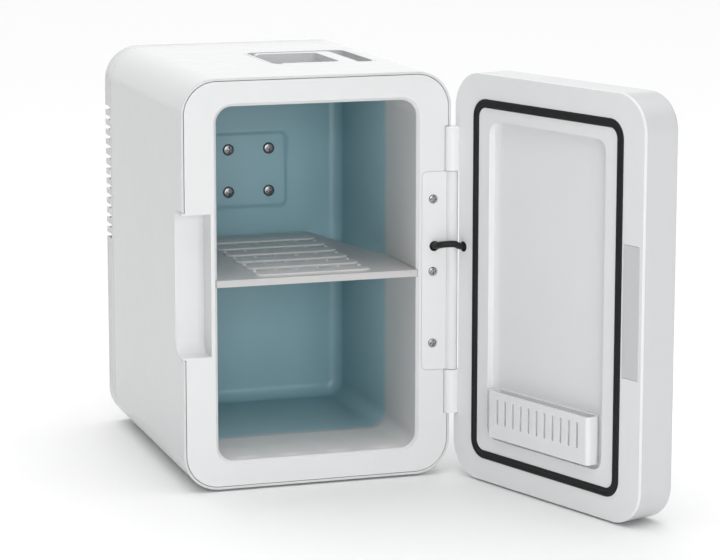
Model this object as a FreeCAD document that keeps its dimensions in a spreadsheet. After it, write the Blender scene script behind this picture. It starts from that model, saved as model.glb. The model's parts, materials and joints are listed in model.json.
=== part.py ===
import FreeCAD, Part
import math
import os
import re
import Sketcher

# A thermoelectric mini fridge. X is to the right, Y to the rear, Z up; the origin is the
# centre of the cabinet's footprint on the surface it stands on. All sizes in millimetres.

doc = FreeCAD.newDocument("MiniFridge")
sheet = doc.addObject("Spreadsheet::Sheet", "Sizes")

sizes = {
    # overall
    "body_width": 193.04, "total_height": 287.02, "total_depth": 264.16, "body_depth": 231.8,
    "corner_radius": 25, "foot_height": 1.5, "foot_radius": 7, "foot_span_x": 124, "foot_span_y": 176,
    # outer shell and front frame
    "shell_wall": 1.8, "rim_groove": 0.4, "frame_thickness": 3, "seam_gap": 0.2,
    "mouth_width": 143.4, "mouth_height": 246.7, "mouth_centre": 144.3, "mouth_radius": 11.5,
    "lip_bevel": 2,
    # inside
    "collar_wall": 1.8, "collar_depth": 61, "liner_wall": 1.6, "inside_depth": 180,
    "shelf_top": 148.2, "shelf_thickness": 2.6, "shelf_lip": 4.9, "shelf_lip_depth": 4,
    "shelf_groove": 0.9, "shelf_groove_depth": 58, "shelf_straight": 52, "shelf_rear_width": 90, "shelf_depth": 176,
    "shelf_rib_length": 83, "shelf_rib_width": 13, "shelf_rib_height": 1.4, "shelf_rib_pitch": 26.5,
    "shelf_rib_count": 6, "shelf_rib_first": 14, "slide_gap": 0.25,
    "pad_width": 58, "pad_height": 55, "pad_centre": 196.5, "pad_rise": 1.2, "pad_radius": 5,
    "pad_screw_x": 31.2, "pad_screw_z": 32, "pad_screw_head": 4.4, "pad_screw_head_height": 2,
    "pad_screw_radius": 1.7, "pad_screw_length": 9,
    # finger scoop in the free side of the front
    "scoop_width": 20.3, "scoop_depth": 20, "scoop_bottom": 95.5, "scoop_top": 194.6,
    "scoop_radius": 10, "scoop_wall": 1.4,
    # cooling unit
    "cold_block_size": 60, "cold_block_depth": 6, "foam_back": 5.5, "peltier_size": 40,
    "peltier_depth": 3.8, "sink_width": 92, "sink_height": 84, "sink_base": 4, "fin_depth": 12,
    "fin_thickness": 1.2, "fin_count": 19, "fan_size": 80, "fan_depth": 15, "fan_bore": 38,
    "fan_hub": 16, "fan_blades": 7, "fan_shaft": 1.5, "fan_tip_gap": 1, "shaft_clearance": 0.05,
    "strut_width": 5, "strut_depth": 2.5, "blade_thickness": 1.4,
    # rear cover
    "cover_depth": 19, "cover_wall": 2.2, "louvre_count": 14, "louvre_pitch": 7.43,
    "louvre_height": 3.4, "louvre_lowest": 145, "louvre_forward": 15, "louvre_inward": 16,
    "grille_bar": 2.4, "grille_slot": 3.2, "grille_radius": 37, "cover_screw_inset": 20,
    "cover_screw_radius": 1.5, "cover_screw_head": 3, "cover_boss_radius": 4.2, "cover_screw_length": 14,
    # connectors and switch in the rear cover
    "panel_centre": 46, "ac_inlet_x": 34, "ac_inlet_width": 21, "ac_inlet_height": 13,
    "dc_inlet_width": 15, "dc_inlet_height": 11, "switch_x": 34, "switch_width": 13,
    "switch_height": 19, "inlet_body_depth": 15, "inlet_flange": 2, "socket_depth": 9,
    "pin_radius": 1.2, "board_width": 100, "board_height": 36, "board_thickness": 1.6,
    "rocker_radius": 9, "rocker_gap": 0.4, "rocker_pin": 1.25,
    # carry handle in the top
    "handle_cup_width": 78, "handle_cup_length": 84, "handle_cup_depth": 12, "handle_cup_wall": 2,
    "handle_cup_radius": 9, "handle_cup_front": 72, "handle_pivot_inset": 11, "handle_reach": 54,
    "handle_grip": 12, "handle_arm": 8.5, "handle_thickness": 8, "handle_gap": 0.5,
    "handle_pin": 2, "handle_sunk": 0.4,
    # hinge
    "hinge_out": 1.1, "hinge_back": 1.1, "barrel_radius": 4.5, "knuckle_radius": 5.4,
    "barrel_bottom": 76.2, "barrel_top": 216.8, "knuckle_reach": 31, "hinge_gap": 0.4,
    "hinge_pin": 2, "leaf_width": 22.1, "leaf_thickness": 2, "leaf_radius": 4, "leaf_screw_x": 83.8,
    "leaf_screw_first": 95.3, "leaf_screw_pitch": 51.1, "leaf_screw_head": 3.1, "leaf_screw_radius": 1.4,
    "leaf_screw_length": 8, "open_angle": 109.1,
    # cable across the hinge
    "cable_radius": 2.4, "cable_hole": 3.6, "cable_x": 84.7, "cable_z": 164.3, "cable_door_x": 87.2,
    "cable_tail": 7, "cable_out": 9.5, "cable_lead": 9, "cable_rise": 2.2, "grommet_wall": 0.7,
    # door
    "door_gap": 1.2, "door_edge_radius": 4, "door_wall": 2.2, "panel_thickness": 2.4,
    "gasket_width": 153.4, "gasket_height": 252.7, "gasket_centre": 143.6, "gasket_band": 6,
    "gasket_radius": 13, "gasket_proud": 0.8, "gasket_sunk": 1.2,
    "recess_width": 119, "recess_top": 255.3, "recess_bottom": 33, "recess_depth": 5, "recess_radius": 9,
    "pull_width": 15.6, "pull_bottom": 100.3, "pull_top": 189, "pull_thickness": 1.2, "pull_edge": 3,
    # door bin
    "bin_width": 104.8, "bin_bottom": 36.4, "bin_top": 69, "bin_depth": 11, "bin_wall": 1.6,
    "bin_radius": 3, "slot_count": 11, "slot_pitch": 8.3, "slot_width": 2.2, "slot_bottom": 46.4,
    "slot_top": 64.2,
    # door front
    "mirror_width": 150, "mirror_height": 236, "mirror_radius": 14, "mirror_thickness": 2.5,
    "light_band": 6, "light_thickness": 2.5, "light_board": 1, "button_radius": 5.5, "button_z": 14.5,
    "button_length": 4,
    # catch
    "magnet_width": 10, "magnet_length": 24, "magnet_thickness": 4, "magnet_x": 86, "magnet_spread": 150,
}
for row, (alias, value) in enumerate(sizes.items(), 1):
    sheet.set(f"A{row}", alias.replace("_", " "))
    sheet.set(f"B{row}", str(value))
    sheet.setAlias(f"B{row}", alias)
doc.recompute()

# places that several pieces share, as expressions of the sizes
front = "-body_depth / 2"
rear = "body_depth / 2"
body_height = "(total_height - foot_height)"
mid_height = "(total_height + foot_height) / 2"
frame_back = f"({front} + frame_thickness)"
collar_back = f"({frame_back} + collar_depth)"
inner_back = f"({front} + inside_depth)"
liner_back = f"({inner_back} + liner_wall)"
foam_rear = f"({liner_back} + foam_back)"
block_rear = f"({liner_back} + cold_block_depth)"
peltier_rear = f"({block_rear} + peltier_depth)"
sink_rear = f"({peltier_rear} + sink_base + fin_depth)"
fan_rear = f"({sink_rear} + fan_depth)"
cover_seam = f"({rear} - cover_depth)"
cover_inner = f"({rear} - cover_wall)"
hinge_x = "(body_width / 2 + hinge_out)"
hinge_y = f"({front} + hinge_back)"
door_inner = f"({front} - door_gap)"
door_outer = f"({rear} - total_depth)"
panel_back = f"({door_inner} - panel_thickness)"
recess_floor = f"({door_inner} - recess_depth)"
handle_y = f"({front} + handle_cup_front + handle_cup_length / 2)"
handle_x = "(handle_cup_width / 2 - handle_pivot_inset)"
shelf_under = "(shelf_top - shelf_lip)"
beyond = 40

planes = {"XY": "XY_Plane", "XZ": "XZ_Plane", "YZ": "YZ_Plane"}


def bound(text):
    """An expression with each size named by its place in the sheet."""
    return re.sub(r"\b[a-z]+(?:_[a-z]+)+\b", lambda word: "Sizes." + word.group(), str(text))


def number(text):
    return float(sheet.evalExpression(bound(text)))


def rounded(sketch, across, up, width, height, radius):
    """A rounded rectangle about (across, up): four tangent arcs joined by lines."""
    corners = []
    for turn, (right, over) in enumerate([(1, 1), (-1, 1), (-1, -1), (1, -1)]):
        place = (f"({across}) + {right} * (({width}) / 2 - ({radius}))",
                 f"({up}) + {over} * (({height}) / 2 - ({radius}))")
        centre = FreeCAD.Vector(number(place[0]), number(place[1]), 0)
        circle = Part.Circle(centre, FreeCAD.Vector(0, 0, 1), number(radius))
        arc = sketch.addGeometry(Part.ArcOfCircle(circle, turn * math.pi / 2, (turn + 1) * math.pi / 2))
        for kind, text in zip(("DistanceX", "DistanceY"), place):
            index = sketch.addConstraint(Sketcher.Constraint(kind, -1, 1, arc, 3, number(text)))
            sketch.setExpression(f"Constraints[{index}]", bound(text))
        corners.append(arc)
    index = sketch.addConstraint(Sketcher.Constraint("Radius", corners[0], number(radius)))
    sketch.setExpression(f"Constraints[{index}]", bound(radius))
    for arc, following in zip(corners, corners[1:] + corners[:1]):
        if arc != corners[0]:
            sketch.addConstraint(Sketcher.Constraint("Equal", corners[0], arc))
        side = Part.LineSegment(sketch.Geometry[arc].EndPoint, sketch.Geometry[following].StartPoint)
        line = sketch.addGeometry(side)
        sketch.addConstraint(Sketcher.Constraint("Tangent", arc, 2, line, 1))
        sketch.addConstraint(Sketcher.Constraint("Tangent", line, 2, following, 1))


def circle(sketch, across, up, radius):
    centre = FreeCAD.Vector(number(across), number(up), 0)
    ring = sketch.addGeometry(Part.Circle(centre, FreeCAD.Vector(0, 0, 1), number(radius)))
    for kind, text in (("DistanceX", across), ("DistanceY", up)):
        index = sketch.addConstraint(Sketcher.Constraint(kind, -1, 1, ring, 3, number(text)))
        sketch.setExpression(f"Constraints[{index}]", bound(text))
    index = sketch.addConstraint(Sketcher.Constraint("Radius", ring, number(radius)))
    sketch.setExpression(f"Constraints[{index}]", bound(radius))


def polygon(sketch, points):
    """Straight sides through points given as pairs of expressions."""
    ends = [FreeCAD.Vector(number(across), number(up), 0) for across, up in points]
    lines = [sketch.addGeometry(Part.LineSegment(start, end)) for start, end in zip(ends, ends[1:] + ends[:1])]
    for index, (line, following) in enumerate(zip(lines, lines[1:] + lines[:1])):
        sketch.addConstraint(Sketcher.Constraint("Coincident", line, 2, following, 1))
    for line, (across, up) in zip(lines, points):
        for kind, text in (("DistanceX", across), ("DistanceY", up)):
            index = sketch.addConstraint(Sketcher.Constraint(kind, -1, 1, line, 1, number(text)))
            sketch.setExpression(f"Constraints[{index}]", bound(text))


def sketchOn(body, plane, start, outlines):
    """A sketch across one of the body's own origin planes, moved along it to start."""
    sketch = body.newObject("Sketcher::SketchObject", body.Name + "Sketch")
    support = next(item for item in body.Origin.OriginFeatures if item.Role == planes[plane])
    sketch.AttachmentSupport = [(support, "")]
    sketch.MapMode = "FlatFace"
    offset = f"-({start})" if plane == "XZ" else start
    sketch.setExpression("AttachmentOffset.Base.z", bound(offset))
    for draw, *values in outlines:
        draw(sketch, *values)
    return sketch


def pad(body, plane, start, length, *outlines):
    """Material from start, towards the plane's positive axis."""
    feature = body.newObject("PartDesign::Pad", body.Name + "Pad")
    feature.Profile = sketchOn(body, plane, start, outlines)
    feature.Reversed = plane == "XZ"
    feature.setExpression("Length", bound(length))
    return feature


def pocket(body, plane, start, length, *outlines):
    """A hollow from start, towards the plane's positive axis."""
    feature = body.newObject("PartDesign::Pocket", body.Name + "Pocket")
    feature.Profile = sketchOn(body, plane, start, outlines)
    feature.Reversed = plane != "XZ"
    feature.setExpression("Length", bound(length))
    return feature


def repeat(body, feature, axis, pitch, count):
    """Copies of a feature along its sketch's H_Axis or V_Axis."""
    pattern = body.newObject("PartDesign::LinearPattern", body.Name + "Pattern")
    pattern.Originals = [feature]
    pattern.Direction = (feature.Profile[0], [axis])
    pattern.setExpression("Length", bound(f"({pitch}) * ({count} - 1)"))
    pattern.setExpression("Occurrences", bound(count))
    body.Tip = pattern
    return pattern


def block(name, plane, start, length, *outlines):
    """A body that is one pad."""
    body = doc.addObject("PartDesign::Body", name)
    pad(body, plane, start, length, *outlines)
    return body


def place(item, at):
    for axis, text in zip("xyz", at):
        item.setExpression("Placement.Base." + axis, bound(text))
    return item


def box(name, at, size):
    item = doc.addObject("Part::Box", name)
    for side, text in zip(("Length", "Width", "Height"), size):
        item.setExpression(side, bound(text))
    return place(item, at)


def rod(name, at, radius, length, axis="Z"):
    item = doc.addObject("Part::Cylinder", name)
    turns = {"Z": FreeCAD.Rotation(), "X": FreeCAD.Rotation(FreeCAD.Vector(0, 1, 0), 90),
             "Y": FreeCAD.Rotation(FreeCAD.Vector(1, 0, 0), -90)}
    item.Placement = FreeCAD.Placement(FreeCAD.Vector(), turns[axis])
    item.setExpression("Radius", bound(radius))
    item.setExpression("Height", bound(length))
    return place(item, at)


def joined(name, items):
    item = doc.addObject("Part::MultiFuse", name)
    item.Shapes = items
    return item


def without(name, base, tools):
    item = doc.addObject("Part::Cut", name)
    item.Base = base
    item.Tool = joined(name + "Tools", tools) if len(tools) > 1 else tools[0]
    return item


pieces = {}


def keep(label, item):
    item.Label = label
    pieces[label] = item
    return item


def screws(label, places, head, head_height, radius, length, axis="Y", inward=1):
    """Pan-head screws that share one node: a head with a cross recess, and a shank going inward."""
    solids = []
    for index, (x, y, z) in enumerate(places):
        shank_start = y if inward > 0 else f"({y}) - ({length})"
        head_start = f"({y}) - ({head_height})" if inward > 0 else y
        cross_start = f"({y}) - ({head_height})" if inward > 0 else f"({y}) + ({head_height}) / 2"
        one = joined(f"{label}Blank{index}", [
            rod(f"{label}Shank{index}", (x, shank_start, z), radius, length, "Y"),
            rod(f"{label}Head{index}", (x, head_start, z), head, head_height, "Y")])
        arm = f"({head}) * 0.6"
        slot = f"({head}) * 0.2"
        wide = box(f"{label}Wide{index}", (f"({x}) - {arm}", cross_start, f"({z}) - {slot} / 2"),
                   (f"2 * {arm}", f"({head_height}) / 2", slot))
        tall = box(f"{label}Tall{index}", (f"({x}) - {slot} / 2", cross_start, f"({z}) - {arm}"),
                   (slot, f"({head_height}) / 2", f"2 * {arm}"))
        solids.append(without(f"{label}Screw{index}", one, [wide, tall]))
    return keep(label, joined(label + "All", solids))


def outline(inset="0"):
    """The cabinet's and door's outline, set in from the outside."""
    return (rounded, "0", mid_height, f"body_width - 2 * ({inset})", f"{body_height} - 2 * ({inset})",
            f"corner_radius - ({inset})")


def mouth(grow="0"):
    """The mouth's outline, or one that lies outside it by grow."""
    return (rounded, "0", "mouth_centre", f"mouth_width + 2 * ({grow})", f"mouth_height + 2 * ({grow})",
            f"mouth_radius + ({grow})")


# ---- spaces that are cut from several pieces

scoop_height = "(scoop_top - scoop_bottom)"
scoop_centre = "(scoop_top + scoop_bottom) / 2"


def scoopSpace(name, grow):
    """The finger scoop's hollow, or its cup when grown by the wall."""
    depth = f"(2 * (scoop_depth + ({grow})))"
    return block(name, "YZ", "-body_width / 2 - 1", f"scoop_width + 1 + ({grow})",
                 (rounded, front, scoop_centre, depth, f"{scoop_height} + 2 * ({grow})",
                  f"scoop_radius + ({grow})"))


def hingeSpace(name, grow):
    """The channel about the hinge axis that the knuckles and barrel turn in."""
    return rod(name, (hinge_x, hinge_y, f"barrel_bottom - knuckle_reach - 2 * hinge_gap - ({grow})"),
               f"knuckle_radius + hinge_gap + ({grow})",
               f"barrel_top - barrel_bottom + 2 * knuckle_reach + 4 * hinge_gap + 2 * ({grow})")


def handleSpace(name, grow, depth):
    """The hole in the top for the handle's cup."""
    return block(name, "XY", f"total_height - ({depth})", f"({depth}) + 5",
                 (rounded, handle_x, handle_y, f"handle_cup_width + 2 * ({grow})",
                  f"handle_cup_length + 2 * ({grow})", f"handle_cup_radius + ({grow})"))


def shelfGroove(name):
    """The grooves that the shelf's long edges slide in."""
    half = "mouth_width / 2 + shelf_groove + slide_gap"
    return box(name, (f"-({half})", f"{front} - 1", f"{shelf_under} - slide_gap"),
               (f"2 * ({half})", "shelf_groove_depth + 1", "shelf_lip + 2 * slide_gap"))


# ---- cabinet: shell, frame, collar, liner, insulation

shell_tube = block("ShellTube", "XZ", front, f"{cover_seam} - ({front})", outline(), outline("shell_wall"))
keep("outer_shell", without("OuterShell", shell_tube, [
    scoopSpace("ShellScoop", "scoop_wall + seam_gap"), hingeSpace("ShellHinge", "0"),
    handleSpace("ShellHandle", "seam_gap", "20")]))

frame_plate = block("FramePlate", "XZ", front, "frame_thickness", outline("shell_wall + rim_groove"))
scoop_cup = block("ScoopCup", "YZ", "-body_width / 2", "scoop_width + scoop_wall",
                  (rounded, front, scoop_centre, "2 * (scoop_depth + scoop_wall)",
                   f"{scoop_height} + 2 * scoop_wall", "scoop_radius + scoop_wall"))
scoop_trim = box("ScoopTrim", (f"-body_width", f"{front} - {beyond}", "0"),
                 ("body_width", str(beyond), "total_height"))
mouth_hole = block("MouthHole", "XZ", f"{front} - 1", "frame_thickness + 2", mouth())
lip_cut = doc.addObject("PartDesign::Body", "LipCut")
lip_pad = pad(lip_cut, "XZ", front, "lip_bevel", mouth("lip_bevel"))
lip_pad.TaperAngle = -45
leaf_pocket_width = "(leaf_width + 20)"
leaf_pocket = block("LeafPocket", "XZ", f"{front} - 1", "leaf_thickness + 1",
                    (rounded, f"{hinge_x} - leaf_width - seam_gap + {leaf_pocket_width} / 2",
                     "(barrel_top + barrel_bottom) / 2", leaf_pocket_width,
                     "barrel_top - barrel_bottom + 2 * seam_gap", "leaf_radius + seam_gap"))
frame_cable_hole = rod("FrameCableHole", ("cable_x", f"{front} - 1", "cable_z"), "cable_hole",
                       "frame_thickness + 2", "Y")
leaf_screw_places = [("leaf_screw_x", f"{front} + 1", f"leaf_screw_first + {index} * leaf_screw_pitch")
                     for index in range(3)]
frame_screw_holes = [rod(f"FrameScrewHole{index}", (x, f"{front} - 1", z), "leaf_screw_radius + shaft_clearance",
                         "leaf_screw_length + 3", "Y") for index, (x, y, z) in enumerate(leaf_screw_places)]
screw_bosses = [rod(f"FrameBoss{index}", (x, frame_back, z), "leaf_screw_radius + 1.8",
                    "leaf_screw_length - 1", "Y") for index, (x, y, z) in enumerate(leaf_screw_places)]
frame_blank = joined("FrameBlank", [frame_plate, without("ScoopCupTrimmed", scoop_cup, [scoop_trim])]
                     + screw_bosses)
keep("front_frame", without("FrontFrame", frame_blank, [
    mouth_hole, lip_cut, leaf_pocket, frame_cable_hole, scoopSpace("FrameScoop", "0"),
    hingeSpace("FrameHinge", "0"), shelfGroove("FrameGroove")] + frame_screw_holes))

collar_tube = block("CollarTube", "XZ", frame_back, "collar_depth", mouth("collar_wall"), mouth())
keep("throat_collar", without("ThroatCollar", collar_tube, [shelfGroove("CollarGroove")]))

liner = doc.addObject("PartDesign::Body", "Liner")
pad(liner, "XZ", collar_back, f"{liner_back} - {collar_back}", mouth("liner_wall"))
pocket(liner, "XZ", collar_back, f"{inner_back} - {collar_back}", mouth())
pad(liner, "XZ", f"{inner_back} - pad_rise", "pad_rise",
    (rounded, "0", "pad_centre", "pad_width", "pad_height", "pad_radius"))
pad_screw_places = [(f"{side} * pad_screw_x / 2", f"{inner_back} - pad_rise", f"pad_centre + {over} * pad_screw_z / 2")
                    for side in (-1, 1) for over in (-1, 1)]
pocket(liner, "XZ", f"{inner_back} - pad_rise", "pad_rise + liner_wall",
       *[(circle, x, z, "pad_screw_radius + shaft_clearance") for x, y, z in pad_screw_places])
keep("inner_liner", liner)

foam_blank = block("FoamBlank", "XZ", f"{frame_back} + seam_gap", f"{foam_rear} - {frame_back} - seam_gap",
                   outline("shell_wall + seam_gap"))
keep("cabinet_insulation", without("CabinetInsulation", foam_blank, [
    block("FoamThroat", "XZ", front, f"{liner_back} - ({front})", mouth("collar_wall + seam_gap")),
    box("FoamWindow", ("-cold_block_size / 2 - seam_gap", f"{liner_back} - 1", "pad_centre - cold_block_size / 2 - seam_gap"),
        ("cold_block_size + 2 * seam_gap", "foam_back + 2", "cold_block_size + 2 * seam_gap")),
    scoopSpace("FoamScoop", "scoop_wall + seam_gap"), hingeSpace("FoamHinge", "1.2"),
    handleSpace("FoamHandle", "2 * seam_gap", "handle_cup_depth + handle_cup_wall + seam_gap"),
    box("FoamBosses", ("leaf_screw_x - 5", front, "barrel_bottom"), ("10", "leaf_screw_length + 6", "barrel_top - barrel_bottom")),
    box("FoamStrike", ("-magnet_x - magnet_width / 2 - 0.2", front, "mouth_centre - magnet_spread / 2 - magnet_length / 2 - 0.2"),
        ("magnet_width + 0.4", "frame_thickness + 3", "magnet_spread + magnet_length + 0.4"))]))

# ---- shelf

shelf_half = "(mouth_width / 2 + shelf_groove)"
shelf = doc.addObject("PartDesign::Body", "Shelf")
pad(shelf, "XY", "shelf_top - shelf_thickness", "shelf_thickness", (polygon, [
    (f"-{shelf_half}", front), (shelf_half, front), (shelf_half, f"{front} + shelf_straight"),
    ("shelf_rear_width / 2", f"{front} + shelf_depth"), ("-shelf_rear_width / 2", f"{front} + shelf_depth"),
    (f"-{shelf_half}", f"{front} + shelf_straight")]))
lip_height = f"(shelf_lip - shelf_thickness + 0.5)"
pad(shelf, "XY", shelf_under, lip_height, (polygon, [
    (f"-{shelf_half}", front), (shelf_half, front), (shelf_half, f"{front} + shelf_lip_depth"),
    (f"-{shelf_half}", f"{front} + shelf_lip_depth")]))
rib = pad(shelf, "XY", "shelf_top - 0.5", "shelf_rib_height + 0.5",
          (rounded, "0", f"{front} + shelf_rib_first", "shelf_rib_length", "shelf_rib_width", "shelf_rib_width / 2 - 0.05"))
repeat(shelf, rib, "V_Axis", "shelf_rib_pitch", "shelf_rib_count")
keep("shelf", shelf)

# ---- cooling unit behind the liner

cold_block = block("ColdBlock", "XZ", liner_back, "cold_block_depth",
                   (rounded, "0", "pad_centre", "cold_block_size", "cold_block_size", "2"),
                   *[(circle, x, z, "pad_screw_radius + shaft_clearance") for x, y, z in pad_screw_places])
keep("cold_block", cold_block)
screws("cold_block_screws", pad_screw_places, "pad_screw_head", "pad_screw_head_height", "pad_screw_radius",
       "pad_screw_length - 0.5")
keep("peltier_module", block("PeltierModule", "XZ", block_rear, "peltier_depth",
                             (rounded, "0", "pad_centre", "peltier_size", "peltier_size", "0.6")))
sink = doc.addObject("PartDesign::Body", "HeatSink")
pad(sink, "XZ", peltier_rear, "sink_base", (rounded, "0", "pad_centre", "sink_width", "sink_height", "1"))
fin = pad(sink, "XZ", f"{peltier_rear} + sink_base", "fin_depth",
          (rounded, "(fin_thickness - sink_width) / 2", "pad_centre", "fin_thickness", "sink_height", "0.3"))
repeat(sink, fin, "H_Axis", "(sink_width - fin_thickness) / (fin_count - 1)", "fin_count")
keep("heat_sink", sink)

fan_frame = doc.addObject("PartDesign::Body", "FanFrame")
pad(fan_frame, "XZ", sink_rear, "fan_depth", (rounded, "0", "pad_centre", "fan_size", "fan_size", "4"),
    (circle, "0", "pad_centre", "fan_bore"))
strut_start = f"({fan_rear} - strut_depth)"
struts = [box("FanStrutWide", ("-fan_bore - 1", strut_start, "pad_centre - strut_width / 2"),
              ("2 * fan_bore + 2", "strut_depth", "strut_width")),
          box("FanStrutTall", ("-strut_width / 2", strut_start, "pad_centre - fan_bore - 1"),
              ("strut_width", "strut_depth", "2 * fan_bore + 2")),
          rod("FanHubPlate", ("0", strut_start, "pad_centre"), "fan_hub", "strut_depth", "Y"),
          rod("FanBearing", ("0", f"{strut_start} - 5", "pad_centre"), "fan_shaft + 2", "6", "Y")]
keep("fan_frame", without("FanFrameBored", joined("FanFrameWhole", [fan_frame] + struts),
                          [rod("FanBore", ("0", sink_rear, "pad_centre"), "fan_shaft + shaft_clearance",
                               "fan_depth + 1", "Y")]))

rotor_start = f"({sink_rear} + 1)"
rotor_length = f"({strut_start} - {rotor_start} - 0.6)"
hub_cup = without("RotorHub", rod("RotorHubBlank", ("0", rotor_start, "pad_centre"), "fan_hub", rotor_length, "Y"),
                  [rod("RotorHubHollow", ("0", f"{rotor_start} + 1.5", "pad_centre"), "fan_hub - 1.5", "fan_depth", "Y")])
rotor_parts = [hub_cup, rod("RotorShaft", ("0", rotor_start, "pad_centre"), "fan_shaft",
                            f"{strut_start} + 1 - {rotor_start}", "Y")]
blade_span = "(fan_bore - fan_tip_gap - fan_hub + 1)"
for index in range(int(number("fan_blades"))):
    blade = doc.addObject("Part::Box", f"RotorBlade{index}")
    blade.setExpression("Length", bound(blade_span))
    blade.setExpression("Width", bound(f"{rotor_length} - 1.5"))
    blade.setExpression("Height", bound("blade_thickness"))
    turn = 2 * math.pi * index / number("fan_blades")
    radial = FreeCAD.Rotation(FreeCAD.Vector(0, 1, 0), -math.degrees(turn))
    pitched = FreeCAD.Rotation(FreeCAD.Vector(1, 0, 0), 28)
    blade.Placement = FreeCAD.Placement(FreeCAD.Vector(), radial * pitched)
    reach = "(fan_hub - 1)"
    place(blade, (f"{reach} * {math.cos(turn):.6f}", f"{rotor_start} + 0.6", f"pad_centre + {reach} * {math.sin(turn):.6f}"))
    rotor_parts.append(blade)
keep("fan_rotor", joined("FanRotor", rotor_parts))

# ---- rear cover with louvres round its upright edges and a grille behind the fan

cover = doc.addObject("PartDesign::Body", "RearCover")
pad(cover, "XZ", cover_seam, "cover_depth", outline())
pocket(cover, "XZ", cover_seam, "cover_depth - cover_wall", outline("cover_wall"))
for side in (-1, 1):
    slot = pocket(cover, "XY", "louvre_lowest - louvre_height / 2", "louvre_height",
                  (rounded, f"{side} * body_width / 2", rear, "2 * louvre_inward", "2 * louvre_forward", "0.8"))
    pattern = cover.newObject("PartDesign::LinearPattern", "LouvrePattern")
    pattern.Originals = [slot]
    pattern.Direction = (slot.Profile[0], ["N_Axis"])
    pattern.setExpression("Length", bound("louvre_pitch * (louvre_count - 1)"))
    pattern.setExpression("Occurrences", bound("louvre_count"))
    cover.Tip = pattern
cover_screw_places = [(f"{side} * (body_width / 2 - cover_screw_inset)", rear,
                       f"{mid_height} + {over} * ({body_height} / 2 - cover_screw_inset)")
                      for side in (-1, 1) for over in (-1, 1)]
boss_start = f"({rear} - cover_screw_length - 2)"
bosses = [rod(f"CoverBoss{index}", (x, boss_start, z), "cover_boss_radius", "cover_screw_length + 1", "Y")
          for index, (x, y, z) in enumerate(cover_screw_places)]
boss_holes = [rod(f"CoverBossHole{index}", (x, boss_start, z), "cover_screw_radius + shaft_clearance",
                  "cover_screw_length + 3", "Y") for index, (x, y, z) in enumerate(cover_screw_places)]
head_holes = [rod(f"CoverHeadHole{index}", (x, f"{rear} - 1.4", z), "cover_screw_head + 0.3", "2", "Y")
              for index, (x, y, z) in enumerate(cover_screw_places)]
grille_pitch = number("grille_bar") + number("grille_slot")
grille_rows = int(number("grille_radius") // grille_pitch)
grille_slots = []
for row in range(-grille_rows, grille_rows + 1):
    lift = row * grille_pitch
    half = math.sqrt(number("grille_radius") ** 2 - lift ** 2)
    grille_slots.append(box(f"GrilleSlot{row + grille_rows}",
                            (f"-sqrt(grille_radius ^ 2 - {lift:.3f} ^ 2)", f"{cover_inner} - 1",
                             f"pad_centre + {row} * (grille_bar + grille_slot) - grille_slot / 2"),
                            (f"2 * sqrt(grille_radius ^ 2 - {lift:.3f} ^ 2)", "cover_wall + 2", "grille_slot")))
panel_holes = [
    block("AcHole", "XZ", f"{cover_inner} - 1", "cover_wall + 2",
          (rounded, "-ac_inlet_x", "panel_centre", "ac_inlet_width", "ac_inlet_height", "3")),
    block("DcHole", "XZ", f"{cover_inner} - 1", "cover_wall + 2",
          (rounded, "0", "panel_centre", "dc_inlet_width", "dc_inlet_height", "1.5")),
    block("SwitchHole", "XZ", f"{cover_inner} - 1", "cover_wall + 2",
          (rounded, "switch_x", "panel_centre", "switch_width", "switch_height", "1"))]
keep("rear_cover", without("RearCoverCut", joined("RearCoverWhole", [cover] + bosses),
                           boss_holes + head_holes + grille_slots + panel_holes))
screws("rear_cover_screws", [(x, f"{rear} - 1.4", z) for x, y, z in cover_screw_places], "cover_screw_head", "1.2",
       "cover_screw_radius", "cover_screw_length - 2", inward=-1)

# ---- inlets, switch and board

fit = "0.15"


def inletHousing(name, x, width, height, radius):
    """A socket body through the cover, with a flange inside it, reaching to the board."""
    return joined(name, [
        block(name + "Nose", "XZ", f"{cover_inner} - 0.5", "cover_wall + 0.5",
              (rounded, x, "panel_centre", f"{width} - 2 * {fit}", f"{height} - 2 * {fit}", radius)),
        block(name + "Body", "XZ", f"{cover_inner} - inlet_body_depth", "inlet_body_depth",
              (rounded, x, "panel_centre", f"{width} + inlet_flange", f"{height} + inlet_flange", radius))])


ac_well = block("AcWell", "XZ", f"{rear} - socket_depth", "socket_depth + 1",
                (rounded, "-ac_inlet_x", "panel_centre", "ac_inlet_width - 4", "ac_inlet_height - 4", "3"))
ac_housing = without("AcHousingCut", inletHousing("AcHousing", "-ac_inlet_x", "ac_inlet_width", "ac_inlet_height", "3"),
                     [ac_well])
ac_pins = [rod(f"AcPin{index}", (f"-ac_inlet_x + {side} * 4.3", f"{rear} - socket_depth - 0.5", "panel_centre"),
               "pin_radius", "socket_depth - 1", "Y") for index, side in enumerate((-1, 1))]
keep("ac_inlet", joined("AcInlet", [ac_housing] + ac_pins))
dc_well = block("DcWell", "XZ", f"{rear} - socket_depth", "socket_depth + 1",
                (rounded, "0", "panel_centre", "dc_inlet_width - 4", "dc_inlet_height - 4", "1"))
dc_housing = without("DcHousingCut", inletHousing("DcHousing", "0", "dc_inlet_width", "dc_inlet_height", "1.5"), [dc_well])
dc_pins = [rod(f"DcPin{index}", (f"{side} * 2.6", f"{rear} - socket_depth - 0.5", "panel_centre"),
               "pin_radius", "socket_depth - 1", "Y") for index, side in enumerate((-1, 1))]
keep("dc_inlet", joined("DcInlet", [dc_housing] + dc_pins))

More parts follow.
